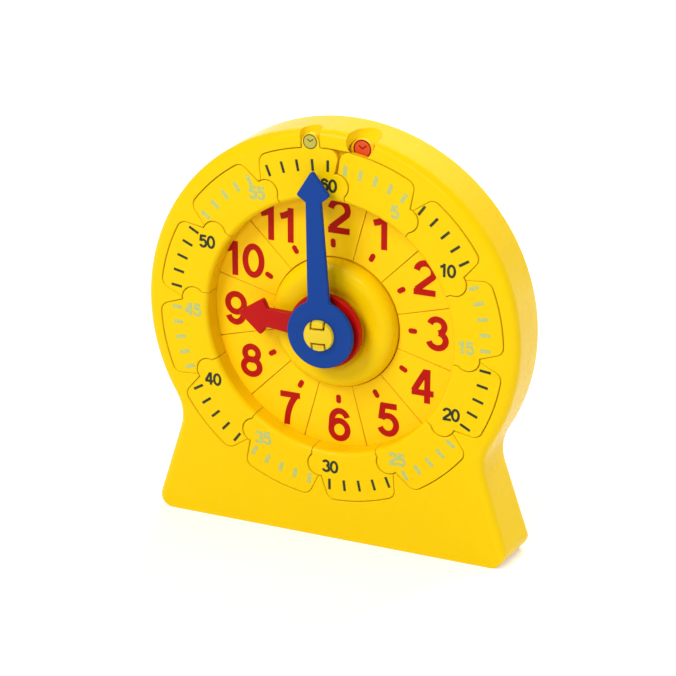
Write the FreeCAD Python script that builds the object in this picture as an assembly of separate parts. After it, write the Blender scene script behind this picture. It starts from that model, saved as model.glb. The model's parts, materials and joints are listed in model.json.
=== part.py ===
"""Geared teaching clock: a free-standing yellow case whose dial is made of two chains that lift out.

The outer chain of 12 links carries the minutes and the inner chain of 12 tiles carries the hours.
The hands turn together through a hidden gear train of 12 to 1.
Millimetres, +Z up, front towards -Y, origin in the middle of the foot of the case.
"""
import FreeCAD
import Part
import math
import os

from FreeCAD import Vector

os.makedirs("parts", exist_ok=True)

# Driving dimensions of the whole clock
TICK_R = 58.0                      # circle of the minute marks
CASE_DEPTH = 20.0
CASE_R = 1.193 * TICK_R            # round head of the case
HEAD_RISE = 0.9                    # its centre stands above the dial's
DIAL_Z = 1.356 * TICK_R            # height of the dial's centre
FRONT_Y = -CASE_DEPTH / 2
WALL = 2.2
SEAM = 0.3                         # gap between neighbouring pieces of the dial

# Outline of the foot at the front face; the back is wider by the splay of its sides
WAIST = (0.975 * TICK_R, -0.72 * TICK_R)
HEEL = (1.123 * TICK_R, -1.20 * TICK_R)
WAIST_BLEND = 15.7
WAIST_SPLAY = 0.5
HEEL_SPLAY = 1.7
HEEL_ROUND = 5.4
FRONT_ROUND = 3.0
BACK_ROUND = 0.5
OVERRUN = 12.0                     # what the body is made longer by below, before it is cut flat
FLOOR_CUT = 0.05                   # what the cut takes off the rounded heels
CHANNEL_ROUND = 0.4

# Depths behind the front face
LINK_T = 2.6
SHELF_T = 2.2
HOUR_FACE = 0.125 * TICK_R
TILE_T = 2.0
FLOOR_T = 1.8
COVER_T = 2.0
WELL_FLOOR = HOUR_FACE + TILE_T
WELL_BACK = WELL_FLOOR + FLOOR_T
COVER_FACE = CASE_DEPTH - COVER_T

# Minute links
LINK_OUT = 1.10 * TICK_R
LINK_IN = 0.79 * TICK_R
LINK_FIRST = 3.0                   # clock angle of the joint between the last link and the first
LIP_OUT = LINK_IN + 4.3
LIP_END = HOUR_FACE - 0.1
LOBE_R = 0.075 * TICK_R
LOBE_AT = 0.885 * TICK_R
LOBE_SHIFT = 0.45
TOOTH_TIP = 0.45                   # half width of a case tooth at its tip
TOOTH_SLOPE = 0.41
TOOTH_END = LOBE_AT + LOBE_R
JOIN_SHIFT = 1.2                   # how far the seam from the last link to the first leans clockwise
HIP_ANGLE = math.radians(45)       # where a lobe's circle meets the straight side of the link's foot
BULGE_ANGLE = math.radians(20)     # a point of that circle between the hip and the tooth
LINK_CORNER = 3.2
LINK_EDGE = 0.35
INNER_ROUND = 1.8
JOINT_R = 2.4
JOINT_AT = LIP_OUT + JOINT_R + 0.4
JOINT_SPLIT = 1.35
JOINT_GAP = 0.2                    # room round an eye and its strap
STRAP_HALF = 1.8
STRAP_END = LOBE_R + 2.2
PIN_R = 1.0
PIN_FACE = 0.7                     # depth of a pin's front end
PIN_GAP = 0.1

# Hour tiles
TILE_IN = 23.7
TILE_OUT = LIP_OUT + 0.3
TILE_EDGE = 0.25
TILE_JOINT_AT = 44.0
TILE_JOINT_R = 2.6
TILE_SPLIT = 1.1
WELL_R = TILE_OUT + SEAM

# Pull tabs, and the round dips that lean back behind them to let a finger nail in: a dip is room
# wider than its tab, starts lift above the tab's middle and leans outwards until it leaves the rim at back
MINUTE_TAB = {"clock": -5.6, "radius": 3.3, "at": 65.6, "room": 0.35, "lean": 45.0, "lift": 2.5, "back": 8.0}
HOUR_TAB = {"clock": 9.9, "radius": 4.2, "at": 64.6, "room": 0.9, "lean": 29.4, "lift": 3.9, "back": 14.0}
TAB_ROOT = 0.6                     # rounding where the minute tab leaves its link
HOUR_ARM_FACE = LINK_T + 0.4
HOUR_ARM_T = 2.0
DIP_IN = LINK_OUT - 0.6            # radius where the dips begin

# Boss, arbors and hands
BOSS_R = 0.403 * TICK_R
BOSS_CREST = 2.4                   # depth of its highest ring
BOSS_CREST_R = 18.0
BOSS_SEAT = 3.8                    # depth of the flat round the arbors
BOSS_SEAT_R = 12.0
BOSS_SKIN = 2.4
ARBOR_R = 5.25
RUNNING = 0.07
TUBE_R = 7.2
HOUR_HUB_R = 0.229 * TICK_R
HOUR_COLLAR_R = 10.8
HOUR_HAND = {"front": 2.7, "back": 0.4, "hub": HOUR_HUB_R, "clock": 273.7, "tip": 32.8, "barb": 23.8,
             "head": 13.6, "neck": 21.8, "shaft_tip": 6.8, "shaft_hub": 7.8, "bore": TUBE_R}
MINUTE_HAND = {"front": 6.8, "back": 5.0, "hub": 0.209 * TICK_R, "clock": -3.0, "tip": 58.0, "barb": 49.3,
               "head": 12.2, "neck": 46.8, "shaft_tip": 5.6, "shaft_hub": 8.2, "bore": ARBOR_R}
HAND_EDGE = 0.5
SNAP_FACE = 8.2
SNAP_DOME = 0.7
SNAP_REACH = 5.5
FINGER_W = 4.1                     # width of its two spring fingers
BRIDGE_H = 4.6
SLOT_W = 0.75
SLOT_END = 4.0                     # depth of the slots that free the fingers
ARBOR_BORE = 3.6

# Gear train: minute pinion to idler wheel, idler pinion to hour wheel
MODULE = 0.65
MINUTE_PINION = 20
IDLER_WHEEL = 60
IDLER_PINION = 16
HOUR_WHEEL = 64
IDLER_AT = MODULE * (MINUTE_PINION + IDLER_WHEEL) / 2
BACKLASH = 0.16
PRESSURE = math.radians(20)
HOUR_GEAR = (WELL_BACK + 0.3, WELL_BACK + 2.0)
FAST_GEAR = (WELL_BACK + 2.7, WELL_BACK + 4.3)
IDLER_POST_R = 2.5

# Screws of the rear cover
SCREW_R = 1.25
SCREW_HEAD_R = 2.6
SCREW_HEAD_T = 1.3
CROSS_L = 2.8
CROSS_W = 0.6
CROSS_T = 0.9
POST_R = 3.4
SCREW_CLOCKS = (42.0, 128.0, 232.0, 318.0)
SCREW_RING = 58.0
SCREW_FOOT = (50.0, -66.5)


def place(x, z, depth):
    """Point x across and z above the dial's centre, depth behind the front face."""
    return Vector(x, FRONT_Y + depth, DIAL_Z + z)


def polar(clock, radius, across=0.0):
    """x and z of a point at a clock angle in degrees, moved clockwise by across."""
    a = math.radians(clock)
    return (radius * math.sin(a) + across * math.cos(a), radius * math.cos(a) - across * math.sin(a))


def on_circle(clock, radius, across):
    """x and z of the point on a circle that lies across beside a clock angle."""
    return polar(clock, math.sqrt(radius ** 2 - across ** 2), across)


def disc(radius, near, far, centre=(0.0, 0.0)):
    """Cylinder from depth near to depth far."""
    return Part.makeCylinder(radius, far - near, place(centre[0], centre[1], near), Vector(0, 1, 0))


def ring(inner, outer, near, far, centre=(0.0, 0.0)):
    return disc(outer, near, far, centre).cut(disc(inner, near - 1, far + 1, centre))


def wire_of(path, depth):
    """Closed wire through the points of path, where an entry of two points is an arc through the first."""
    def at(p):
        return place(p[0], p[1], depth)
    edges = []
    last = at(path[0])
    for step in path[1:] + [path[0]]:
        if isinstance(step[0], tuple):
            end = at(step[1])
            edges.append(Part.Arc(last, at(step[0]), end).toShape())
        else:
            end = at(step)
            if last.distanceToPoint(end) < 1e-6:
                continue
            edges.append(Part.LineSegment(last, end).toShape())
        last = end
    return Part.Wire(edges)


def prism(path, near, far):
    """Solid between two depths with the outline of path."""
    return Part.Face(wire_of(path, near)).extrude(Vector(0, far - near, 0))


def sector(inner, outer, start, end, near, far):
    """Part of a ring between two clock angles."""
    middle = (start + end) / 2
    path = [polar(start, inner), polar(start, outer), (polar(middle, outer), polar(end, outer)),
            polar(end, inner), (polar(middle, inner), polar(start, inner))]
    return prism(path, near, far)


def radial_bar(clock, inner, outer, width, near, far):
    """Straight bar that runs outwards at a clock angle."""
    half = width / 2
    path = [polar(clock, inner, -half), polar(clock, outer, -half), polar(clock, outer, half),
            polar(clock, inner, half)]
    return prism(path, near, far)


def turned(profile):
    """Body of revolution about the dial's axis from points of radius and depth; two points are an arc."""
    edges = []
    last = place(profile[0][0], 0, profile[0][1])
    for step in profile[1:] + [profile[0]]:
        if isinstance(step[0], tuple):
            end = place(step[1][0], 0, step[1][1])
            edges.append(Part.Arc(last, place(step[0][0], 0, step[0][1]), end).toShape())
        else:
            end = place(step[0], 0, step[1])
            if last.distanceToPoint(end) < 1e-6:
                continue
            edges.append(Part.LineSegment(last, end).toShape())
        last = end
    face = Part.Face(Part.Wire(edges))
    return face.revolve(place(0, 0, 0), Vector(0, 1, 0), 360)


def upright_edges(shape, wanted):
    """Edges along Y whose x and z from the dial's centre pass a test."""
    found = []
    for edge in shape.Edges:
        a, b = edge.Vertexes[0].Point, edge.Vertexes[-1].Point
        if math.hypot(a.x - b.x, a.z - b.z) < 1e-4 and abs(a.y - b.y) > 1e-3 and wanted(a.x, a.z - DIAL_Z):
            found.append(edge)
    return found


def face_edges(shape, depth, wanted):
    """Edges that lie in the plane at one depth and whose middle passes a test."""
    found = []
    for edge in shape.Edges:
        middle = edge.valueAt((edge.FirstParameter + edge.LastParameter) / 2)
        flat = all(abs(v.Point.y - FRONT_Y - depth) < 1e-4 for v in edge.Vertexes)
        if flat and abs(middle.y - FRONT_Y - depth) < 1e-4 and wanted(middle.x, middle.z - DIAL_Z):
            found.append(edge)
    return found


def rounded(shape, radius, edges):
    """Shape with the edges rounded, or as it was where the kernel can't round them."""
    try:
        result = shape.makeFillet(radius, edges)
        if result.isValid() and result.Volume > 0:
            return result
    except Exception as error:
        print("not rounded:", len(edges), "edges at", radius, error)
        return shape
    print("not rounded:", len(edges), "edges at", radius)
    return shape


def save(name, shape):
    if len(shape.Solids) == 1:
        shape = shape.Solids[0]
    print(f"{name:18s} solids {len(shape.Solids)} valid {shape.isValid()} volume {shape.Volume:.1f}")
    shape.exportStep(f"parts/{name}.step")


def case_outline(inset, foot, splay=0.0):
    """Path of the case seen from the front: round head, hollow waist and flared foot down to z = foot.

    splay is 0 at the front face and 1 at the back.
    """
    waist = (WAIST[0] + splay * WAIST_SPLAY, WAIST[1] - HEAD_RISE)
    heel = (HEEL[0] + splay * HEEL_SPLAY, HEEL[1] - HEAD_RISE)
    flare = math.dist(heel, waist)
    normal = ((waist[1] - heel[1]) / flare, (heel[0] - waist[0]) / flare)
    head = CASE_R - inset
    blend = WAIST_BLEND + inset
    reach = normal[0] * waist[0] + normal[1] * waist[1] - inset
    # The blend's centre is head + blend from the head's centre and blend outside the flare's line
    toward = math.acos((reach + blend) / (head + blend))
    base = math.atan2(normal[1], normal[0])
    centre = ((head + blend) * math.cos(base - toward), (head + blend) * math.sin(base - toward))
    unit = (centre[0] / (head + blend), centre[1] / (head + blend))
    on_head = (unit[0] * head, unit[1] * head)
    on_flare = (centre[0] - normal[0] * blend, centre[1] - normal[1] * blend)
    between = (unit[0] + normal[0], unit[1] + normal[1])
    size = math.hypot(*between)
    on_blend = (centre[0] - between[0] / size * blend, centre[1] - between[1] / size * blend)
    slope = (heel[0] - waist[0]) / (waist[1] - heel[1])
    drop = foot - HEAD_RISE
    toe = (on_flare[0] + slope * (on_flare[1] - drop), drop)

    def raised(p, side=1):
        return (side * p[0], p[1] + HEAD_RISE)
    return [raised(toe), raised(on_flare), (raised(on_blend), raised(on_head)),
            (raised((0.0, head)), raised(on_head, -1)), (raised(on_blend, -1), raised(on_flare, -1)),
            raised(toe, -1)]


def splayed_block(inset, foot):
    """Solid from the front face to the back whose foot grows wider on the way."""
    front = wire_of(case_outline(inset, foot), 0)
    back = wire_of(case_outline(inset, foot, 1.0), CASE_DEPTH)
    return Part.makeLoft([front, back], True, True)


def case_block():
    """Outer body of the case, rounded in front and behind, cut flat below and rounded at the heels."""
    body = splayed_block(0.0, -DIAL_Z - OVERRUN)
    for depth, radius in ((0, FRONT_ROUND), (CASE_DEPTH, BACK_ROUND)):
        body = rounded(body, radius, face_edges(body, depth, lambda x, z: z > -DIAL_Z - OVERRUN + 1))
    keeper = splayed_block(-0.001, -DIAL_Z - FLOOR_CUT)
    heels = [edge for edge in keeper.Edges
             if all(v.Z < 0.1 for v in edge.Vertexes) and edge.Length < CASE_DEPTH + HEEL_SPLAY]
    body = body.common(keeper.makeFillet(HEEL_ROUND, heels))
    below = Part.makeBox(4 * CASE_R, 4 * CASE_DEPTH, CASE_R, Vector(-2 * CASE_R, -2 * CASE_DEPTH, -CASE_R))
    return body.cut(below)


def tooth_half(radius):
    """Half width of a case tooth at a radius."""
    return TOOTH_TIP + TOOTH_SLOPE * (radius - TOOTH_END)


def boundary(clock, gap, side, plain):
    """End of a link, from its outer corner inwards: side -1 is its clockwise end and +1 the other end."""
    lobe = LOBE_R + side * gap
    outer_half = (0.0 if plain else tooth_half(LINK_OUT)) + gap
    inner_half = TOOTH_TIP + gap
    top = LOBE_AT + math.sqrt(lobe ** 2 - (side * inner_half - LOBE_SHIFT) ** 2)
    side_reach = lobe * math.cos(HIP_ANGLE)
    outer = on_circle(clock, LINK_OUT, side * outer_half + (JOIN_SHIFT if plain else 0.0))
    joint = polar(clock, top, side * inner_half)
    bulge = polar(clock, LOBE_AT + lobe * math.sin(BULGE_ANGLE), LOBE_SHIFT + lobe * math.cos(BULGE_ANGLE))
    hip = polar(clock, LOBE_AT - side_reach, LOBE_SHIFT + side_reach)
    inner = on_circle(clock, LINK_IN, LOBE_SHIFT + side_reach)
    return outer, joint, bulge, hip, inner


def link_path(start, gap, plain_start, plain_end):
    """Outline of one minute link from its clock angle start, 30 degrees round."""
    end = start + 30.0
    a_outer, a_joint, a_bulge, a_hip, a_inner = boundary(start, gap, 1, plain_start)
    b_outer, b_joint, b_bulge, b_hip, b_inner = boundary(end, gap, -1, plain_end)
    middle = start + 15.0
    return [a_outer, (polar(middle, LINK_OUT), b_outer), b_joint, (b_bulge, b_hip), b_inner,
            (polar(middle, LINK_IN), a_inner), a_hip, (a_bulge, a_joint)]


def minute_link(number):
    """Link that carries the minutes number - 4 to number, with a lobe for its label and a lip behind."""
    start = LINK_FIRST + 30.0 * (number / 5 - 1)
    first, last = number == 5, number == 60
    link = prism(link_path(start, SEAM / 2, first, last), 0, LIP_END)
    link = link.cut(ring(LIP_OUT, LINK_OUT + 9, LINK_T, LIP_END + 1))
    corners = upright_edges(link, lambda x, z: abs(math.hypot(x, z) - LINK_OUT) < 0.01)
    link = rounded(link, LINK_CORNER, corners)
    if last:
        link = link.fuse(minute_tab(0.0, 0, LINK_T)).removeSplitter()
        roots = upright_edges(link, lambda x, z: abs(math.hypot(x, z) - LINK_OUT) < 0.3
                              and abs(x - polar(MINUTE_TAB["clock"], LINK_OUT)[0]) < 5)
        link = rounded(link, TAB_ROOT, roots)
    rim = face_edges(link, 0, lambda x, z: math.hypot(x, z) > LINK_IN + 0.1)
    link = rounded(link, LINK_EDGE, rim)
    link = link.cut(inner_rounding())
    # Every link but the last carries a pin that holds it under the next lobe
    if not last:
        centre = polar(start + 30.0, JOINT_AT, LOBE_SHIFT)
        link = link.cut(disc(JOINT_R + JOINT_GAP, JOINT_SPLIT, LINK_T + 0.1, centre))
        link = link.cut(strap_pocket(start + 30.0))
        link = link.cut(disc(PIN_R + PIN_GAP, PIN_FACE - PIN_GAP, LINK_T, centre))
    if not first:
        centre = polar(start, JOINT_AT, LOBE_SHIFT)
        tongue = disc(JOINT_R, JOINT_SPLIT + 0.1, LINK_T, centre)
        tongue = tongue.fuse(joint_strap(start, 0.0))
        tongue = tongue.fuse(disc(PIN_R, PIN_FACE, LINK_T, centre))
        link = link.fuse(tongue).removeSplitter()
    return link


def joint_strap(clock, gap):
    """Strap behind the face from a joint's eye to the link that carries it."""
    half = STRAP_HALF + gap
    path = [polar(clock, JOINT_AT - half, LOBE_SHIFT), polar(clock, JOINT_AT + half, LOBE_SHIFT),
            polar(clock, JOINT_AT + half, STRAP_END), polar(clock, JOINT_AT - half, STRAP_END)]
    return prism(path, JOINT_SPLIT + 0.1 - gap / 2, LINK_T)


def strap_pocket(clock):
    """Room for the strap of the next link, open towards the back."""
    strap = joint_strap(clock, JOINT_GAP)
    return strap.fuse(strap.translated(Vector(0, JOINT_GAP, 0)))


def inner_rounding():
    """Material between the square inner edge of the minute ring and its round one."""
    outer = LINK_IN + INNER_ROUND
    bend = INNER_ROUND * (1 - math.cos(math.radians(45)))
    profile = [(LINK_IN - 1, -1.0), (outer, -1.0), (outer, 0.0),
               ((LINK_IN + bend, bend), (LINK_IN, INNER_ROUND)), (LINK_IN - 1, INNER_ROUND)]
    return turned(profile)


def minute_tab(gap, near, far):
    """Round-ended tab that pulls the minute ring out."""
    at, radius = MINUTE_TAB["at"], MINUTE_TAB["radius"] + gap
    bar = radial_bar(MINUTE_TAB["clock"], LINK_OUT - 4, at, 2 * radius, near, far)
    return bar.fuse(disc(radius, near, far, polar(MINUTE_TAB["clock"], at)))


def hour_tile(hour):
    """Tile of one hour, hooked to its neighbours by a pin below the face."""
    half = math.degrees(SEAM / 2 / TILE_OUT)
    start, end = 30.0 * hour - 15.0, 30.0 * hour + 15.0
    tile = sector(TILE_IN, TILE_OUT, start + half, end - half, HOUR_FACE, WELL_FLOOR)
    tile = rounded(tile, TILE_EDGE, face_edges(tile, HOUR_FACE, lambda x, z: True))
    split = HOUR_FACE + TILE_SPLIT
    if hour != 12:
        centre = polar(start, TILE_JOINT_AT)
        tile = tile.cut(disc(TILE_JOINT_R + JOINT_GAP, split - 0.1, WELL_FLOOR + 1, centre))
        tile = tile.cut(disc(PIN_R + PIN_GAP, HOUR_FACE + PIN_FACE - PIN_GAP, WELL_FLOOR, centre))
    if hour != 11:
        centre = polar(end, TILE_JOINT_AT)
        tongue = disc(TILE_JOINT_R, split, WELL_FLOOR, centre)
        tongue = tongue.fuse(disc(PIN_R, HOUR_FACE + PIN_FACE, WELL_FLOOR, centre))
        tile = tile.fuse(tongue).removeSplitter()
    if hour == 12:
        tile = tile.fuse(hour_arm(0.0)).removeSplitter()
    return tile


def hour_arm(gap):
    """Arm that climbs out of the well and runs under the first minute link to the rim."""
    clock, at = HOUR_TAB["clock"], HOUR_TAB["at"]
    radius = HOUR_TAB["radius"] + gap
    near, far = HOUR_ARM_FACE - gap, HOUR_ARM_FACE + HOUR_ARM_T + gap
    if gap:
        near = 0.5
    foot = radial_bar(clock, TILE_OUT - 2, TILE_OUT + 2 + gap, 2 * radius, near, WELL_FLOOR + gap)
    foot = foot.cut(disc(TILE_OUT - 0.01, -1, HOUR_FACE))
    arm = radial_bar(clock, TILE_OUT + 0.3, at, 2 * radius, near, far)
    return foot.fuse([arm, disc(radius, near, far, polar(clock, at))])


def dip(tab):
    """Finger dip at a tab: a leaning cylinder that starts at the front and runs out through the rim."""
    clock, radius = tab["clock"], tab["radius"] + tab["room"]
    lean = math.radians(tab["lean"])
    side = math.radians(clock)
    axis = Vector(math.sin(side) * math.sin(lean), math.cos(lean), math.cos(side) * math.sin(lean))
    middle = place(*polar(clock, tab["at"] + tab["lift"]), 0)
    bore = Part.makeCylinder(radius, 4 * CASE_DEPTH, middle - axis * (2 * CASE_DEPTH), axis)
    return bore.common(radial_bar(clock, DIP_IN, CASE_R + 20, 2 * radius + 2, -CASE_DEPTH, 2 * CASE_DEPTH))


def channel():
    """Room for the minute ring: 12 cells with the case's teeth left standing between them."""
    room = disc(TOOTH_END + SEAM / 2, -1, LINK_T)
    outer = LINK_OUT + SEAM
    for index in range(12):
        start = LINK_FIRST + 30.0 * index
        end = start + 30.0
        left = 0.0 if index == 0 else tooth_half(outer)
        right = 0.0 if index == 11 else tooth_half(outer)
        tip = 0.0 if index == 0 else TOOTH_TIP
        tail = 0.0 if index == 11 else TOOTH_TIP
        path = [polar(start, TOOTH_END, tip), on_circle(start, outer, left),
                (polar(start + 15.0, outer), on_circle(end, outer, -right)),
                polar(end, TOOTH_END, -tail)]
        cell = prism(path, -1, LINK_T)
        cell = cell.fuse(radial_bar(start + 15.0, TOOTH_END - 6, outer - 3, 6.0, -1, LINK_T))
        roots = upright_edges(cell, lambda x, z: abs(math.hypot(x, z) - outer) < 0.01)
        if index == 0:
            roots = [e for e in roots if e.Vertexes[0].Point.x > 10]
        if index == 11:
            roots = [e for e in roots if e.Vertexes[0].Point.x < -10]
        room = room.fuse(rounded(cell, LINK_CORNER + SEAM, roots))
    return room.removeSplitter()


def boss():
    """Domed boss round the arbors, hollow behind."""
    dome = turned([(TUBE_R + RUNNING, WELL_BACK), (TUBE_R + RUNNING, BOSS_SEAT), (BOSS_SEAT_R, BOSS_SEAT),
                   ((BOSS_SEAT_R + 2.6, BOSS_CREST + 0.45), (BOSS_CREST_R, BOSS_CREST)),
                   ((BOSS_R - 1.3, BOSS_CREST + 1.5), (BOSS_R, HOUR_FACE - 0.6)), (BOSS_R, WELL_BACK)])
    return dome.cut(ring(TUBE_R + WALL, BOSS_R - BOSS_SKIN, BOSS_CREST + 3.4, WELL_BACK + 1))


def screw_places():
    """x and z of every cover screw."""
    spots = [polar(clock, SCREW_RING) for clock in SCREW_CLOCKS]
    return spots + [(side * SCREW_FOOT[0], SCREW_FOOT[1]) for side in (-1, 1)]


def front_case():
    """Moulded front: body, channel for the minute ring, well for the hour ring, boss and screw posts."""
    hollow = prism(case_outline(WALL, -DIAL_Z + WALL), LINK_T + SHELF_T, CASE_DEPTH + 1)
    hollow = rounded(hollow, HEEL_ROUND - WALL, upright_edges(hollow, lambda x, z: z < -DIAL_Z + WALL + 0.1))
    hollow = hollow.cut(disc(WELL_R + WALL, 0, WELL_BACK))
    arm_block = radial_bar(HOUR_TAB["clock"], WELL_R, CASE_R - 1, 2 * HOUR_TAB["radius"] + 4, 0,
                           HOUR_ARM_FACE + HOUR_ARM_T + 2)
    dip_blocks = [radial_bar(tab["clock"], DIP_IN - WALL, CASE_R - 1, 2 * tab["radius"] + 5, 0,
                             tab["back"] + WALL) for tab in (MINUTE_TAB, HOUR_TAB)]
    hollow = hollow.cut(arm_block.fuse(dip_blocks))
    case = case_block().cut(hollow)
    case = case.cut(channel())
    case = case.cut(disc(WELL_R, -1, WELL_FLOOR))
    case = case.fuse(boss())
    case = case.cut(disc(TUBE_R + RUNNING, -1, WELL_BACK + 1))
    case = rounded(case, CHANNEL_ROUND, channel_rim(case))
    case = case.cut(dip(MINUTE_TAB)).cut(dip(HOUR_TAB))
    case = case.cut(hour_arm(SEAM)).cut(minute_tab(MINUTE_TAB["room"], -1, LINK_T))
    for spot in screw_places():
        case = case.fuse(disc(POST_R, LINK_T + 1, COVER_FACE, spot))
        case = case.cut(disc(SCREW_R, LINK_T + SHELF_T + 2, COVER_FACE + 1, spot))
    case = case.fuse(disc(IDLER_POST_R, WELL_BACK - 1, COVER_FACE - 1, (0.0, -IDLER_AT)))
    return case.removeSplitter()


def channel_rim(case):
    """Front edges of the teeth and of the rim round the minute ring."""
    return face_edges(case, 0, lambda x, z: TOOTH_END - 0.5 < math.hypot(x, z) < LINK_OUT + SEAM + 0.1)


def rear_cover():
    """Flat cover let into the back, with sockets for the arbor and the idler's post."""
    inset = WALL + 0.25
    cover = prism(case_outline(inset, -DIAL_Z + inset), COVER_FACE, CASE_DEPTH)
    cover = rounded(cover, HEEL_ROUND - WALL - 0.25,
                    upright_edges(cover, lambda x, z: z < -DIAL_Z + inset + 0.1))
    cover = rounded(cover, 0.5, face_edges(cover, CASE_DEPTH, lambda x, z: True))
    cover = cover.fuse(ring(ARBOR_R - 0.5 + RUNNING, ARBOR_R + 1.6, FAST_GEAR[1] + 0.4, COVER_FACE + 0.1))
    cover = cover.fuse(ring(IDLER_POST_R + 0.05, IDLER_POST_R + 2.0, FAST_GEAR[1] + 0.3, COVER_FACE + 0.1,
                            (0.0, -IDLER_AT)))
    for spot in screw_places():
        cover = cover.cut(disc(SCREW_R + 0.25, COVER_FACE - 1, CASE_DEPTH + 1, spot))
        cover = cover.cut(disc(SCREW_HEAD_R + 0.3, CASE_DEPTH - SCREW_HEAD_T, CASE_DEPTH + 1, spot))
    return cover


def case_screws():
    """Pan-head self-tapping screws of the rear cover."""
    screws = []
    for spot in screw_places():
        head = disc(SCREW_HEAD_R, CASE_DEPTH - SCREW_HEAD_T, CASE_DEPTH - 0.1, spot)
        head = rounded(head, 0.5, face_edges(head, CASE_DEPTH - 0.1, lambda x, z: True))
        shank = disc(SCREW_R, LINK_T + SHELF_T + 4, CASE_DEPTH - SCREW_HEAD_T + 0.1, spot)
        screw = head.fuse(shank)
        for across, up in ((CROSS_L, CROSS_W), (CROSS_W, CROSS_L)):
            corner = place(spot[0] - across / 2, spot[1] - up / 2, CASE_DEPTH - CROSS_T)
            screw = screw.cut(Part.makeBox(across, 1.0, up, corner))
        screws.append(screw.Solids[0])
    return Part.makeCompound(screws)


def gear_path(teeth, shift, centre):
    """Outline of a spur gear with involute flanks of straight steps; shift is its turn in tooth pitches."""
    pitch_r = MODULE * teeth / 2
    base_r = pitch_r * math.cos(PRESSURE)
    tip_r = pitch_r + 0.95 * MODULE
    root_r = pitch_r - 1.25 * MODULE
    half_pitch = (math.pi * MODULE / 2 - BACKLASH) / 2 / pitch_r

    def involute(angle):
        return math.tan(angle) - angle

    def half_angle(radius):
        lean = math.acos(min(1.0, base_r / radius))
        return half_pitch + involute(PRESSURE) - involute(lean)
    low = max(base_r, root_r)
    flank = [(root_r, half_angle(low))] + [(low + (tip_r - low) * i / 3, None) for i in range(4)]
    points = []
    for tooth in range(teeth):
        middle = 2 * math.pi * (tooth + shift) / teeth
        side = [(r, half_angle(r) if h is None else h) for r, h in flank]
        for sign, steps in ((-1, side), (1, side[::-1])):
            for r, h in steps:
                a = middle + sign * h
                points.append((centre[0] + r * math.sin(a), centre[1] + r * math.cos(a)))
    return [p for i, p in enumerate(points) if math.dist(p, points[i - 1]) > 1e-4]


def minute_arbor():
    """Hollow shaft with the minute pinion behind and a snap head with two spring fingers in front."""
    shaft = disc(ARBOR_R, -SNAP_FACE, FAST_GEAR[1] + 0.2)
    shaft = shaft.fuse(disc(ARBOR_R - 0.5, FAST_GEAR[1], COVER_FACE - 0.3))
    pinion = prism(gear_path(MINUTE_PINION, 0.0, (0.0, 0.0)), FAST_GEAR[0] - 0.2, FAST_GEAR[1] + 0.2)
    shaft = shaft.fuse(pinion)
    shaft = shaft.cut(disc(ARBOR_BORE, -SNAP_FACE + 2.4, COVER_FACE))
    hand_face = -MINUTE_HAND["front"]
    dome = turned([(0.0, hand_face), (0.0, -SNAP_FACE - SNAP_DOME),
                   ((2.8, -SNAP_FACE - 0.72 * SNAP_DOME), (SNAP_REACH - 1.0, -SNAP_FACE)),
                   ((SNAP_REACH - 0.3, -SNAP_FACE + 0.28), (SNAP_REACH, hand_face - 0.2)),
                   (SNAP_REACH, hand_face)])
    shaft = shaft.fuse(dome).removeSplitter()
    tilt = MINUTE_HAND["clock"]
    inner, outer = BRIDGE_H / 2, SNAP_REACH + 1
    for side in (0, 180):
        loop = radial_bar(tilt + side, inner, outer, FINGER_W + 2 * SLOT_W, -12, SLOT_END)
        finger = radial_bar(tilt + side, inner + SLOT_W, outer + 1, FINGER_W, -13, SLOT_END + 1)
        shaft = shaft.cut(loop.cut(finger))
    return shaft


def hand(spec):
    """Flat hand with a round hub, a tapered shaft and an arrowhead with swept barbs."""
    near, far = -spec["front"], -spec["back"]
    clock, half_head = spec["clock"], spec["head"] / 2
    blade_half, hub_half = spec["shaft_tip"] / 2, spec["shaft_hub"] / 2
    sides = [(spec["hub"] * 0.7, hub_half), (spec["neck"], blade_half), (spec["barb"], half_head)]
    path = [polar(clock, r, -h) for r, h in sides] + [polar(clock, spec["tip"])]
    path += [polar(clock, r, h) for r, h in sides[::-1]]
    blade = prism(path, near, far)

    def along(x, z):
        a = math.radians(clock)
        return x * math.sin(a) + z * math.cos(a)
    blade = rounded(blade, 0.8, upright_edges(blade, lambda x, z: along(x, z) > spec["barb"] - 1))
    whole = blade.fuse(disc(spec["hub"], near, far)).removeSplitter()
    whole = rounded(whole, 2.0, upright_edges(whole, lambda x, z: along(x, z) < spec["hub"] + 2))
    whole = rounded(whole, HAND_EDGE, face_edges(whole, near, lambda x, z: True))
    whole = rounded(whole, HAND_EDGE / 2, face_edges(whole, far, lambda x, z: True))
    return whole


def minute_hand():
    return hand(MINUTE_HAND).cut(disc(MINUTE_HAND["bore"], -20, 20))


def hour_hand():
    """Red hand with a collar that closes the gap above the boss."""
    whole = hand(HOUR_HAND).fuse(disc(HOUR_COLLAR_R, -HOUR_HAND["back"] - 0.5, BOSS_SEAT - 0.6))
    return whole.cut(disc(HOUR_HAND["bore"], -20, 20)).removeSplitter()


def hour_wheel():
    """Gear on a tube that carries the hour hand and runs on the minute arbor."""
    wheel = prism(gear_path(HOUR_WHEEL, 0.0, (0.0, 0.0)), *HOUR_GEAR)
    wheel = wheel.fuse(disc(TUBE_R, -HOUR_HAND["front"], HOUR_GEAR[1]))
    return wheel.cut(disc(ARBOR_R + RUNNING, -20, 20)).removeSplitter()


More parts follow.
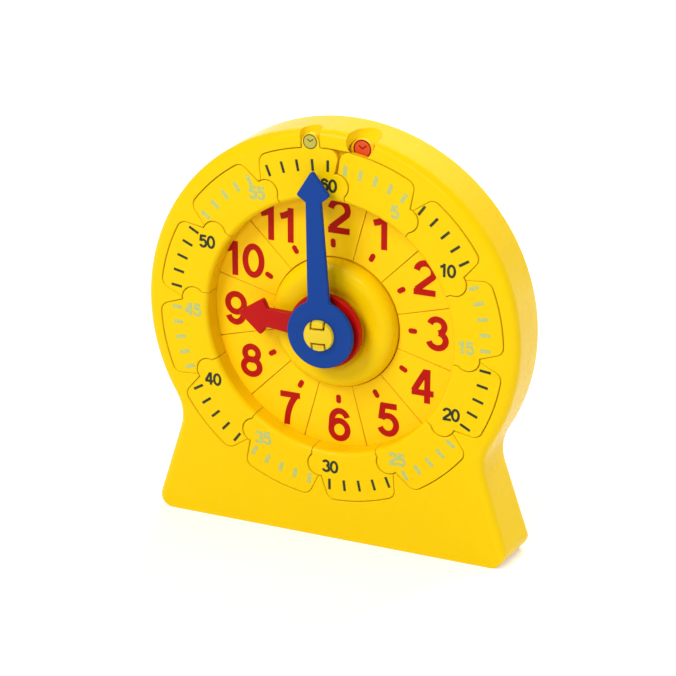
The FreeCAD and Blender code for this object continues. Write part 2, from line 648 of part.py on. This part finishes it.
def idler_gear():
    """Compound gear below the centre: its wheel meets the minute pinion and its pinion the hour wheel."""
    centre = (0.0, -IDLER_AT)
    # The arbors' gears have a tooth at the top, so by their even counts one at the bottom too
    gear = prism(gear_path(IDLER_WHEEL, 0.5, centre), *FAST_GEAR)
    gear = gear.fuse(prism(gear_path(IDLER_PINION, 0.5, centre), HOUR_GEAR[0], FAST_GEAR[0] + 0.1))
    return gear.cut(disc(IDLER_POST_R + RUNNING, -20, 20, centre)).removeSplitter()


save("front_case", front_case())
save("rear_cover", rear_cover())
save("case_screws", case_screws())
save("minute_arbor", minute_arbor())
save("minute_hand", minute_hand())
save("hour_hand", hour_hand())
save("hour_wheel", hour_wheel())
save("idler_gear", idler_gear())
for minute in range(5, 65, 5):
    save(f"minute_link_{minute:02d}", minute_link(minute))
for hour in range(1, 13):
    save(f"hour_tile_{hour:02d}", hour_tile(hour))
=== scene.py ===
import json
import math

import bpy
import numpy as np
from mathutils import Matrix, Vector


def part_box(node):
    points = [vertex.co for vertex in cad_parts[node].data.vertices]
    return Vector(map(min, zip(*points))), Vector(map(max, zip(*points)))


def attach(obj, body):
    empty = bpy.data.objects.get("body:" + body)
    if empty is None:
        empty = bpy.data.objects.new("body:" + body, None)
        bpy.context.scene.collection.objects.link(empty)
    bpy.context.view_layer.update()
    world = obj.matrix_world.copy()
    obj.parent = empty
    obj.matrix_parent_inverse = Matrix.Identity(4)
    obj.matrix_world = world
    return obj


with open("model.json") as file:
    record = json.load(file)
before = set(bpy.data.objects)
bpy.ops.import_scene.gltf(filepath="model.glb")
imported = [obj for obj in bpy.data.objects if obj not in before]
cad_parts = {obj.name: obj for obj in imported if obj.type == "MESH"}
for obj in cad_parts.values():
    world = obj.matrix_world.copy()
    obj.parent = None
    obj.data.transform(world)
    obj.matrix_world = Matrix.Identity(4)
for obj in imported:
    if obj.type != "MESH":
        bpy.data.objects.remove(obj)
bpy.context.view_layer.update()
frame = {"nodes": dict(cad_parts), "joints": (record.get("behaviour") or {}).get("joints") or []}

# The dial: every depth on the clock is counted back from the flat front of the case, and every place on
# the dial from the axis of the hands, which the frame gives. The circle through the middle of the minute
# bars is what the dial is laid out from: the axis stands 1.356 of its radius above the foot.
mm = 0.001
axis_height_in_circles = 1.356
front_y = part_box("front_case")[0][1]
hands_joint = next(joint for joint in frame["joints"] if joint["name"] == "minute_spin")
dial_z = hands_joint["pos_m"][2]
mark_circle = dial_z / axis_height_in_circles


def on_dial(clock, radius):
    """x and z of a place on the dial, radius times the sine and cosine of its clock angle in degrees."""
    a = np.radians(clock)
    return np.stack([radius * np.sin(a), radius * np.cos(a) + dial_z], axis=-1)


# Studio: the clock stands on white paper that runs out of sight. A soft lamp at its upper left is the main
# light, and weaker ones in front, at the right and behind open the shadows, with the light that white walls
# send back. The camera is a long lens to the right of the dial and above it.
camera_turn = math.radians(23.63)
camera_rise = math.radians(21.15)
camera_roll = math.radians(0.18)
camera_from_dial = Vector((5.5754, -12.5871, 5.2675)) * mark_circle
focal_pixels = 2500.0
photo_width = 676.0

lens = bpy.data.cameras.new("lens")
lens.sensor_width = 36.0
lens.lens = lens.sensor_width * focal_pixels / photo_width
lens.clip_end = 20.0
camera = bpy.data.objects.new("camera", lens)
camera.location = Vector((0.0, front_y, dial_z)) + camera_from_dial
turned = Matrix.Rotation(camera_turn, 3, "Z")
tipped = Matrix.Rotation(math.pi / 2 - camera_rise, 3, "X")
rolled = Matrix.Rotation(camera_roll, 3, "Z")
camera.rotation_euler = (turned @ tipped @ rolled).to_euler()
bpy.context.scene.collection.objects.link(camera)
bpy.context.scene.camera = camera
bpy.context.scene.view_settings.view_transform = "Standard"


def lamp(name, place, size, watts, mirrored=True):
    """Square soft lamp at place that shines towards the dial; unless mirrored it makes no highlights."""
    light = bpy.data.lights.new(name, "AREA")
    light.shape = "SQUARE"
    light.size = size
    light.energy = watts
    thing = bpy.data.objects.new(name, light)
    thing.location = place
    thing.rotation_euler = (Vector((0.0, 0.0, dial_z)) - Vector(place)).to_track_quat("-Z", "Y").to_euler()
    thing.visible_glossy = mirrored
    bpy.context.scene.collection.objects.link(thing)


def seen_rays(tree):
    """1 for rays that show a thing, straight, in a shine or through glass, and 0 for rays that only light."""
    ray = tree.nodes.new("ShaderNodeLightPath")
    shown = ray.outputs["Is Camera Ray"]
    for kind in ("Is Glossy Ray", "Is Transmission Ray"):
        either = tree.nodes.new("ShaderNodeMath")
        either.operation = "MAXIMUM"
        tree.links.new(shown, either.inputs[0])
        tree.links.new(ray.outputs[kind], either.inputs[1])
        shown = either.outputs[0]
    return shown


lamp("key_lamp", (-0.42, -0.86, 1.02), size=0.55, watts=11.6)
lamp("front_lamp", (0.12, -1.34, 0.72), size=0.22, watts=3.8)
lamp("right_lamp", (1.35, 0.05, 0.55), size=0.90, watts=6.2, mirrored=False)
lamp("back_lamp", (0.10, 0.75, 0.80), size=0.70, watts=9.0, mirrored=False)

room_light = 0.22
shown_white = 1.0
world = bpy.data.worlds.new("white_room")
world.use_nodes = True
room = world.node_tree.nodes
room["Background"].inputs["Color"].default_value = (1.0, 1.0, 1.0, 1.0)
strength = room.new("ShaderNodeMapRange")
strength.inputs["To Min"].default_value = room_light
strength.inputs["To Max"].default_value = shown_white
world.node_tree.links.new(seen_rays(world.node_tree), strength.inputs["Value"])
world.node_tree.links.new(strength.outputs["Result"], room["Background"].inputs["Strength"])
bpy.context.scene.world = world

# The paper lights nothing: what it glows is only seen. It glows least round the clock, where the lamps reach
# it and the clock's shadow has to stay, and is plain white further off, where their light runs out.
paper_reach = 4.0
paper_white = (0.86, 0.86, 0.86, 1.0)
paper_roughness = 0.9
near_glow = 0.29
near_clock = 0.15
far_off = 1.00
paper_mesh = bpy.data.meshes.new("paper")
paper_mesh.from_pydata([(-paper_reach, -paper_reach, 0), (paper_reach, -paper_reach, 0),
                        (paper_reach, paper_reach, 0), (-paper_reach, paper_reach, 0)], [], [(0, 1, 2, 3)])
paper = bpy.data.objects.new("paper", paper_mesh)
bpy.context.scene.collection.objects.link(paper)
white_paper = bpy.data.materials.new("white_paper")
white_paper.use_nodes = True
sheet = white_paper.node_tree.nodes
sheet["Principled BSDF"].inputs["Base Color"].default_value = paper_white
sheet["Principled BSDF"].inputs["Roughness"].default_value = paper_roughness
glow = sheet.new("ShaderNodeMath")
glow.operation = "MULTIPLY"
white_paper.node_tree.links.new(seen_rays(white_paper.node_tree), glow.inputs[0])
paper_place = sheet.new("ShaderNodeTexCoord")
away = sheet.new("ShaderNodeVectorMath")
away.operation = "LENGTH"
white_paper.node_tree.links.new(paper_place.outputs["Object"], away.inputs[0])
growing_glow = sheet.new("ShaderNodeMapRange")
growing_glow.inputs["From Min"].default_value = near_clock
growing_glow.inputs["From Max"].default_value = far_off
growing_glow.inputs["To Min"].default_value = near_glow
growing_glow.inputs["To Max"].default_value = shown_white
white_paper.node_tree.links.new(away.outputs["Value"], growing_glow.inputs["Value"])
white_paper.node_tree.links.new(growing_glow.outputs["Result"], glow.inputs[1])
sheet["Principled BSDF"].inputs["Emission Color"].default_value = (1.0, 1.0, 1.0, 1.0)
white_paper.node_tree.links.new(glow.outputs[0], sheet["Principled BSDF"].inputs["Emission Strength"])
paper_mesh.materials.append(white_paper)


# Case: two shells of yellow ABS, moulded with a faint spark texture. The front carries the dial, and the
# rear cover is let in and screwed. The colour is even, with a slight cloudiness where the melt flowed.
def srgb(red, green, blue):
    """Linear colour from the 0 to 255 values that a screen shows, by the sRGB standard's curve."""
    steps = np.array([red, green, blue]) / 255.0
    linear = np.where(steps <= 0.04045, steps / 12.92, ((steps + 0.055) / 1.055) ** 2.4)
    return (*linear.tolist(), 1.0)


def noise(material, size, detail):
    """Soft noise with blobs of about one size, fixed to the piece."""
    nodes, links = material.node_tree.nodes, material.node_tree.links
    where = nodes.new("ShaderNodeTexCoord")
    blobs = nodes.new("ShaderNodeTexNoise")
    blobs.inputs["Scale"].default_value = 1.0 / size
    blobs.inputs["Detail"].default_value = detail
    links.new(where.outputs["Object"], blobs.inputs["Vector"])
    return blobs.outputs["Fac"]


def bump(material, height, distance, normal=None):
    """Bump of a given depth on top of another normal."""
    node = material.node_tree.nodes.new("ShaderNodeBump")
    node.inputs["Distance"].default_value = distance
    material.node_tree.links.new(height, node.inputs["Height"])
    if normal:
        material.node_tree.links.new(normal, node.inputs["Normal"])
    return node.outputs["Normal"]


def spread(material, value, low, high, start=0.0, stop=1.0):
    """Value between start and stop carried over to low and high."""
    node = material.node_tree.nodes.new("ShaderNodeMapRange")
    node.inputs["From Min"].default_value = start
    node.inputs["From Max"].default_value = stop
    node.inputs["To Min"].default_value = low
    node.inputs["To Max"].default_value = high
    material.node_tree.links.new(value, node.inputs["Value"])
    return node.outputs["Result"]


def blend(material, amount, first, second):
    """Colour between first and second; either may be a colour or a socket."""
    node = material.node_tree.nodes.new("ShaderNodeMixRGB")
    material.node_tree.links.new(amount, node.inputs["Fac"])
    for socket, colour in (("Color1", first), ("Color2", second)):
        if isinstance(colour, tuple):
            node.inputs[socket].default_value = colour
        else:
            material.node_tree.links.new(colour, node.inputs[socket])
    return node.outputs["Color"]


flow_size = 34 * mm
touch_size = 5 * mm
edge_radius = 0.35 * mm
flat_lean = 0.99
sharp_lean = 0.85
paled_by = 0.2
sink_depth = 0.25 * mm
grain_depth = 0.03


def moulded(name, colour, flow, roughness, grain, gloss=0.08, rub=0.35):
    """Moulded plastic: the melt's flow clouds its colour, a spark-eroded mould gives it fine grain, it sinks
    a little over thick places, and its arrises are rubbed paler.

    An arris is found by how far the rounded normal leans off the flat one: their dot product drops from 1,
    where flat_lean is still flat and sharp_lean is a full arris. The grain is grain_depth of its size deep."""
    material = bpy.data.materials.new(name)
    material.use_nodes = True
    nodes, links = material.node_tree.nodes, material.node_tree.links
    skin = nodes["Principled BSDF"]
    cloud = noise(material, flow_size, 2.0)
    handled = noise(material, touch_size, 4.0)

    soft = nodes.new("ShaderNodeBevel")
    soft.samples = 6
    soft.inputs["Radius"].default_value = edge_radius
    plain = nodes.new("ShaderNodeNewGeometry")
    bend = nodes.new("ShaderNodeVectorMath")
    bend.operation = "DOT_PRODUCT"
    links.new(soft.outputs["Normal"], bend.inputs[0])
    links.new(plain.outputs["Normal"], bend.inputs[1])
    arris = spread(material, bend.outputs["Value"], 0.0, rub, flat_lean, sharp_lean)
    rubbed = nodes.new("ShaderNodeMath")
    rubbed.operation = "MULTIPLY"
    links.new(arris, rubbed.inputs[0])
    links.new(handled, rubbed.inputs[1])

    paler = tuple((1.0 - paled_by) * c + paled_by for c in colour[:3]) + (1.0,)
    tone = blend(material, cloud, colour, flow)
    links.new(blend(material, rubbed.outputs[0], tone, paler), skin.inputs["Base Color"])
    links.new(spread(material, handled, roughness - 0.06, roughness + 0.08), skin.inputs["Roughness"])
    sunk = bump(material, cloud, sink_depth, soft.outputs["Normal"])
    links.new(bump(material, noise(material, grain, 2.0), grain_depth * grain, sunk), skin.inputs["Normal"])
    skin.inputs["Specular IOR Level"].default_value = gloss
    return material


def dress(nodes, material):
    """Gives solids of the frame their material and leaves their shape alone."""
    for name in nodes:
        mesh = frame["nodes"][name].data
        mesh.materials.clear()
        mesh.materials.append(material)


dress(["front_case", "rear_cover"],
      moulded("case_yellow", srgb(244, 203, 2), srgb(241, 200, 4), 0.25, 0.35 * mm))


# Cover screws: zinc-plated pan heads, the plating dulled and a little warm where fingers have been.
zinc = bpy.data.materials.new("zinc_plate")
zinc.use_nodes = True
plating = zinc.node_tree.nodes["Principled BSDF"]
plating.inputs["Metallic"].default_value = 1.0
crystals = noise(zinc, 0.8 * mm, 5.0)
dull_to_bright = blend(zinc, crystals, srgb(150, 150, 152), srgb(212, 210, 202))
zinc.node_tree.links.new(dull_to_bright, plating.inputs["Base Color"])
zinc.node_tree.links.new(spread(zinc, crystals, 0.28, 0.50), plating.inputs["Roughness"])
zinc.node_tree.links.new(bump(zinc, crystals, 0.01 * mm), plating.inputs["Normal"])
dress(["case_screws"], zinc)

# Minute links: twelve pieces of the same ABS from another mould, hooked to each other by pins behind their
# lobes. They stand flush with the case and are handled most.
minute_links = {minute: f"minute_link_{minute:02d}" for minute in range(5, 65, 5)}
dress(minute_links.values(), moulded("link_yellow", srgb(244, 203, 2), srgb(242, 200, 4), 0.25, 0.35 * mm))


# Minute prints: five bars and a number on every link, pad-printed in thin ink. The tens are near black, and
# the fives between them a pale green grey that the yellow shows through.
def arc(x, z, across, up, start, stop, steps=16):
    """Ellipse's arc about x and z: half axes times cosine and sine, from start to stop degrees."""
    a = np.radians(np.linspace(start, stop, steps))
    return np.stack([x + across * np.cos(a), z + up * np.sin(a)], axis=1)


def digit_strokes():
    """Middle lines of the plain digits in units of their height over the ink, about their middle.

    Each digit is a list of strokes of straight lines and arcs. A stroke whose ends meet is a ring. right, top
    and low are how far the middle lines reach, so that half a stroke's width is left to the edge of the ink."""
    right, top, low = 0.25, 0.415, -0.415
    corner = np.array
    zero = [arc(0, 0, right, top, 90, 450, 33)]
    one = [corner([(0.10, -0.5), (0.10, 0.5)]), corner([(-0.21, 0.235), (-0.08, 0.27), (0.10, 0.37)])]
    two = [np.concatenate([arc(0, 0.165, right, 0.25, 172, -28), [(-0.25, -0.36)]]),
           corner([(-0.33, low), (0.31, low)])]
    three = [arc(-0.01, 0.215, 0.215, 0.20, 165, -78), arc(0, -0.19, right, 0.225, 80, -165)]
    four = [corner([(0.11, -0.5), (0.11, 0.5)]), corner([(0.07, 0.46), (-0.29, -0.17)]),
            corner([(-0.35, -0.20), (0.30, -0.20)])]
    five = [corner([(0.26, top), (-0.22, top)]), corner([(-0.15, 0.46), (-0.205, 0.0)]),
            arc(0, -0.145, right, 0.27, 138, -158)]
    six = [arc(0, -0.15, right, 0.265, 90, 450, 29),
           np.concatenate([arc(0.01, 0.13, 0.24, 0.285, 22, 170), [(-right, -0.15)]])]
    seven = [corner([(-0.31, top), (0.30, top)]), arc(0.56, -0.5, 0.66, 1.1, 124, 180, 14)]
    eight = [arc(0, 0.215, 0.205, 0.20, 90, 450, 25), arc(0, -0.19, right, 0.225, 90, 450, 29)]
    nine = [-stroke for stroke in six]
    return [zero, one, two, three, four, five, six, seven, eight, nine]


def strip(path, width, near, far, sharpest=0.6):
    """Closed slab along a line of x and z, from depth near to depth far behind the front.

    At each corner the sides step off the line along the mean of its two normals, by half the width over the
    cosine between them, as a mitre does, and by no more than half the width over sharpest."""
    ring = np.allclose(path[0], path[-1])
    line = path[:-1] if ring else path
    before = np.roll(line, 1, axis=0)
    after = np.roll(line, -1, axis=0)
    if not ring:
        before[0], after[-1] = 2 * line[0] - line[1], 2 * line[-1] - line[-2]
    into = (line - before) / np.linalg.norm(line - before, axis=1, keepdims=True)
    out = (after - line) / np.linalg.norm(after - line, axis=1, keepdims=True)
    side = np.stack([-(into + out)[:, 1], (into + out)[:, 0]], axis=1)
    side /= np.linalg.norm(side, axis=1, keepdims=True)
    mitre = np.clip((side * np.stack([-into[:, 1], into[:, 0]], axis=1)).sum(axis=1), sharpest, 1.0)
    edge = side * (width / 2 / mitre)[:, None]
    count = len(line)
    corners = np.zeros((4 * count, 3))
    round_the_section = ((line + edge, near), (line - edge, near), (line - edge, far), (line + edge, far))
    for row, (flat, depth) in enumerate(round_the_section):
        corners[row * count:(row + 1) * count, 0] = flat[:, 0]
        corners[row * count:(row + 1) * count, 1] = front_y + depth
        corners[row * count:(row + 1) * count, 2] = flat[:, 1]
    here = np.arange(count if ring else count - 1)
    then = (here + 1) % count
    faces = []
    for row in range(4):
        this_row, next_row = row * count, (row + 1) % 4 * count
        faces.append(np.stack([next_row + here, next_row + then, this_row + then, this_row + here], axis=1))
    if not ring:
        first_end = np.array([[3 * count, 2 * count, count, 0]])
        last_end = np.array([[count - 1, 2 * count - 1, 3 * count - 1, 4 * count - 1]])
        faces += [first_end, last_end]
    return corners, np.concatenate(faces)


def piece(name, slabs, material, body):
    """Object made of several closed slabs, that rides on a body."""
    shift = np.cumsum([0] + [len(corners) for corners, faces in slabs[:-1]])
    corners = np.concatenate([corners for corners, faces in slabs])
    faces = [(np.array(face) + start).tolist() for start, (_, slab) in zip(shift, slabs) for face in slab]
    mesh = bpy.data.meshes.new(name)
    mesh.from_pydata(corners.tolist(), [], faces)
    mesh.materials.append(material)
    thing = bpy.data.objects.new(name, mesh)
    bpy.context.scene.collection.objects.link(thing)
    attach(thing, body)


def plate(outline, near, far):
    """Closed slab with a given outline of x and z, anticlockwise as seen from the front."""
    count = len(outline)
    corners = np.zeros((2 * count, 3))
    corners[:, 0] = np.tile(outline[:, 0], 2)
    corners[:count, 1], corners[count:, 1] = front_y + near, front_y + far
    corners[:, 2] = np.tile(outline[:, 1], 2)
    here = np.arange(count)
    sides = np.stack([here, here + count, np.roll(here, -1) + count, np.roll(here, -1)], axis=1)
    return corners, [here, here[::-1] + count, *sides]


def bar(middle, clock, length, width):
    """Outline of a bar with round ends that points at a clock angle: a circle's two halves moved apart."""
    a = np.radians(np.arange(0, 360, 20))
    along = np.sign(np.cos(a)) * (length - width) / 2 + np.cos(a) * width / 2
    across = np.sin(a) * width / 2
    turn = np.radians(clock)
    return middle + np.stack([along * np.sin(turn) - across * np.cos(turn),
                              along * np.cos(turn) + across * np.sin(turn)], axis=1)


ink = 0.05 * mm
bite = 0.03 * mm


def number(text, middle, height, width, depth, pitch):
    """Slabs of an upright number: its digits stand pitch apart about middle and are height tall over the ink.

    Strokes that cross are each a little prouder than the last, so that no two faces lie in one plane."""
    slabs = []
    first = -(len(text) - 1) / 2
    for place, figure in enumerate(text):
        left = middle + np.array([(first + place) * pitch, 0.0])
        for order, stroke in enumerate(digits[int(figure)]):
            proud = ink * (1 + 0.2 * order)
            slabs.append(strip(left + stroke * height, width, depth - proud, depth + bite))
    return slabs


thin_patch = 1.1 * mm
pore_size = 0.25 * mm
pore_depth = 0.004 * mm
ink_gloss = 0.10


def inked(name, colour, show_through, thin, roughness):
    """Pad-printed ink: the yellow shows through by up to thin where the film is thin, over pinholes."""
    material = bpy.data.materials.new(name)
    material.use_nodes = True
    film = material.node_tree.nodes["Principled BSDF"]
    cover = noise(material, thin_patch, 3.0)
    pores = noise(material, pore_size, 1.0)
    worn = spread(material, cover, 0.0, thin, 0.45, 0.75)
    links = material.node_tree.links
    links.new(blend(material, worn, colour, show_through), film.inputs["Base Color"])
    links.new(spread(material, pores, roughness - 0.08, roughness + 0.12), film.inputs["Roughness"])
    links.new(bump(material, pores, pore_depth), film.inputs["Normal"])
    film.inputs["Specular IOR Level"].default_value = ink_gloss
    return material


# Angles of the minute prints are in degrees and count from where a link starts. No two prints of a pad land
# alike: print_slips turns a link's whole print, and label_nudges moves its number, in mm.
digits = digit_strokes()
marks_in_link = (-2, -1, 0, 1, 2)
mark_step = 5.565
mark_middle = 18.0
tens_bar = (0.966 * mark_circle, 1.036 * mark_circle)
fives_bar = (0.960 * mark_circle, 1.024 * mark_circle)
label_place = 30.0
label_turn = -1.2
label_radius = 0.885 * mark_circle
label_height = 4.7 * mm
label_pitch = 3.05 * mm
print_slips = {5: -0.5, 10: -1.0, 20: -0.5, 25: 0.4, 45: 0.3, 50: 0.4, 55: 0.3, 60: 0.9}
label_nudges = {15: (-0.9, 0.0), 20: (0.7, 0.3), 40: (0.0, 0.8), 50: (-0.7, 0.0), 55: (0.0, 1.2),
                60: (0.6, 0.0)}
unmoved = (0.0, 0.0)
dark_ink = inked("print_dark", srgb(44, 52, 40), srgb(92, 92, 30), 0.5, 0.42)
pale_ink = inked("print_pale", srgb(180, 192, 122), srgb(212, 202, 70), 0.8, 0.50)
for minute, node in minute_links.items():
    if minute % 10 == 0:
        material, reach, bar_width, label_stroke = dark_ink, tens_bar, 0.95 * mm, 0.92 * mm
    else:
        material, reach, bar_width, label_stroke = pale_ink, fives_bar, 1.35 * mm, 1.05 * mm
    start = 6.0 * (minute - 5) + print_slips.get(minute, 0.0)
    slabs = []
    for mark in marks_in_link:
        clock = start + mark_middle + mark * mark_step
        slabs.append(strip(on_dial(clock, np.array(reach)), bar_width, -ink, bite))
    label = on_dial(start + label_place + label_turn, label_radius)
    label = label + mm * np.array(label_nudges.get(minute, unmoved))
    slabs += number(str(minute), label, label_height, label_stroke, 0.0, label_pitch)
    piece(f"print_{node}", slabs, material, "minute_line")

# Hour tiles: twelve flat tiles of a slightly deeper yellow, sunk behind the minute ring, with their numbers
# and a short bar towards the boss in one red ink. Their yellow is also painted lighter than the case's: painted
# light that makes up for the shade the sunk tiles get in the well. number_nudges is how far each number stands
# off its place, in mm, and the two figures of 10, 11 and 12 each have their own pitch.
hour_tiles = {hour: f"hour_tile_{hour:02d}" for hour in range(1, 13)}
# The tile colour holds painted light: it is lighter than the case yellow to stand in for the well's shade.
dress(hour_tiles.values(), moulded("tile_yellow", srgb(254, 207, 10), srgb(253, 202, 12), 0.32, 0.35 * mm))
tile_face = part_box("hour_tile_06")[0][1] - front_y
red_ink = inked("print_red", srgb(176, 14, 4), srgb(188, 34, 8), 0.45, 0.40)
number_radius = 0.659 * mark_circle
number_turn = -2.2
number_height = 12.5 * mm
number_stroke = 2.25 * mm
pair_shift = np.array([-1.6 * mm, 0.0])
pitches = {10: 8.3 * mm, 11: 7.4 * mm, 12: 8.8 * mm}
number_nudges = {1: (-1.4, 1.1), 2: (0.4, 0.5), 3: (-0.7, 0.0), 4: (-1.0, -0.6), 5: (-0.6, -0.9),
                 7: (0.4, -1.4), 8: (0.0, 0.9), 9: (0.0, 0.8), 11: (0.0, 0.3), 12: (-0.2, 0.3)}
bar_radius = 0.4926 * mark_circle
bar_length = 3.3 * mm
bar_width = 1.9 * mm
for hour, node in hour_tiles.items():
    clock = 30.0 * hour + number_turn
    middle = on_dial(clock, number_radius) + mm * np.array(number_nudges.get(hour, unmoved))
    if hour in pitches:
        middle = middle + pair_shift
    slabs = number(str(hour), middle, number_height, number_stroke, tile_face, pitches.get(hour, 0.0))
    outline = bar(on_dial(clock, bar_radius), clock, bar_length, bar_width)
    slabs.append(plate(outline, tile_face - ink, tile_face + bite))
    piece(f"print_{node}", slabs, red_ink, "hour_line")

# Tab signs: a small round clock face on each pull tab, with its hands at ten past ten, pad-printed grey green
# on the minute tab and orange red on the hour tab, where the minute ring hides its foot.
hand_tips = ((-0.42, 0.38), (0.50, 0.42))


def sign(name, clock, radius, size, depth, face, mark, body):
    """Disc of thin ink with a ring and two hands on it, each a slab of its own height; size is its radius."""
    middle = on_dial(clock, radius)
    rim = middle + arc(0, 0, 1, 1, 0, 360, 41) * size
    piece(f"{name}_face", [plate(rim[:-1], depth - 0.6 * ink, depth + bite)], face, body)
    stroke = 0.16 * size
    slabs = [strip(rim, stroke, depth - ink, depth + bite)]
    for order, tip in enumerate(hand_tips):
        proud = (1.2 + 0.2 * order) * ink
        slabs.append(strip(middle + np.array([(0.0, 0.0), tip]) * size, stroke, depth - proud, depth + bite))
    piece(f"{name}_marks", slabs, mark, body)


grey_ink = inked("sign_grey", srgb(188, 176, 78), srgb(214, 192, 50), 0.7, 0.45)
olive_ink = inked("sign_olive", srgb(92, 88, 44), srgb(130, 118, 40), 0.4, 0.45)
orange_ink = inked("sign_orange", srgb(222, 78, 36), srgb(222, 104, 32), 0.4, 0.45)
maroon_ink = inked("sign_maroon", srgb(132, 20, 12), srgb(160, 44, 14), 0.4, 0.45)
sign("minute_sign", -5.6, 66.1 * mm, 2.4 * mm, 0.0, grey_ink, olive_ink, "minute_line")
arm_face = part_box("hour_tile_12")[0][1] - front_y
sign("hour_sign", 9.9, 65.6 * mm, 3.0 * mm, arm_face, orange_ink, maroon_ink, "hour_line")

# Hands: flat moulded arms, red for the hours and blue for the minutes, on a yellow arbor whose snap head
# holds them. Behind them a white acetal gear train turns the red one once for twelve turns of the blue.
dress(["minute_hand"], moulded("hand_blue", srgb(8, 58, 142), srgb(10, 62, 138), 0.40, 0.30 * mm, 0.14, 0.10))
dress(["hour_hand"], moulded("hand_red", srgb(186, 7, 7), srgb(179, 9, 7), 0.38, 0.30 * mm, 0.14, 0.10))
dress(["minute_arbor"], moulded("arbor_yellow", srgb(230, 196, 4), srgb(226, 196, 8), 0.14, 0.30 * mm, 0.3))
dress(["hour_wheel", "idler_gear"],
      moulded("gear_white", srgb(236, 233, 222), srgb(228, 225, 214), 0.45, 0.30 * mm, 0.4, 0.0))
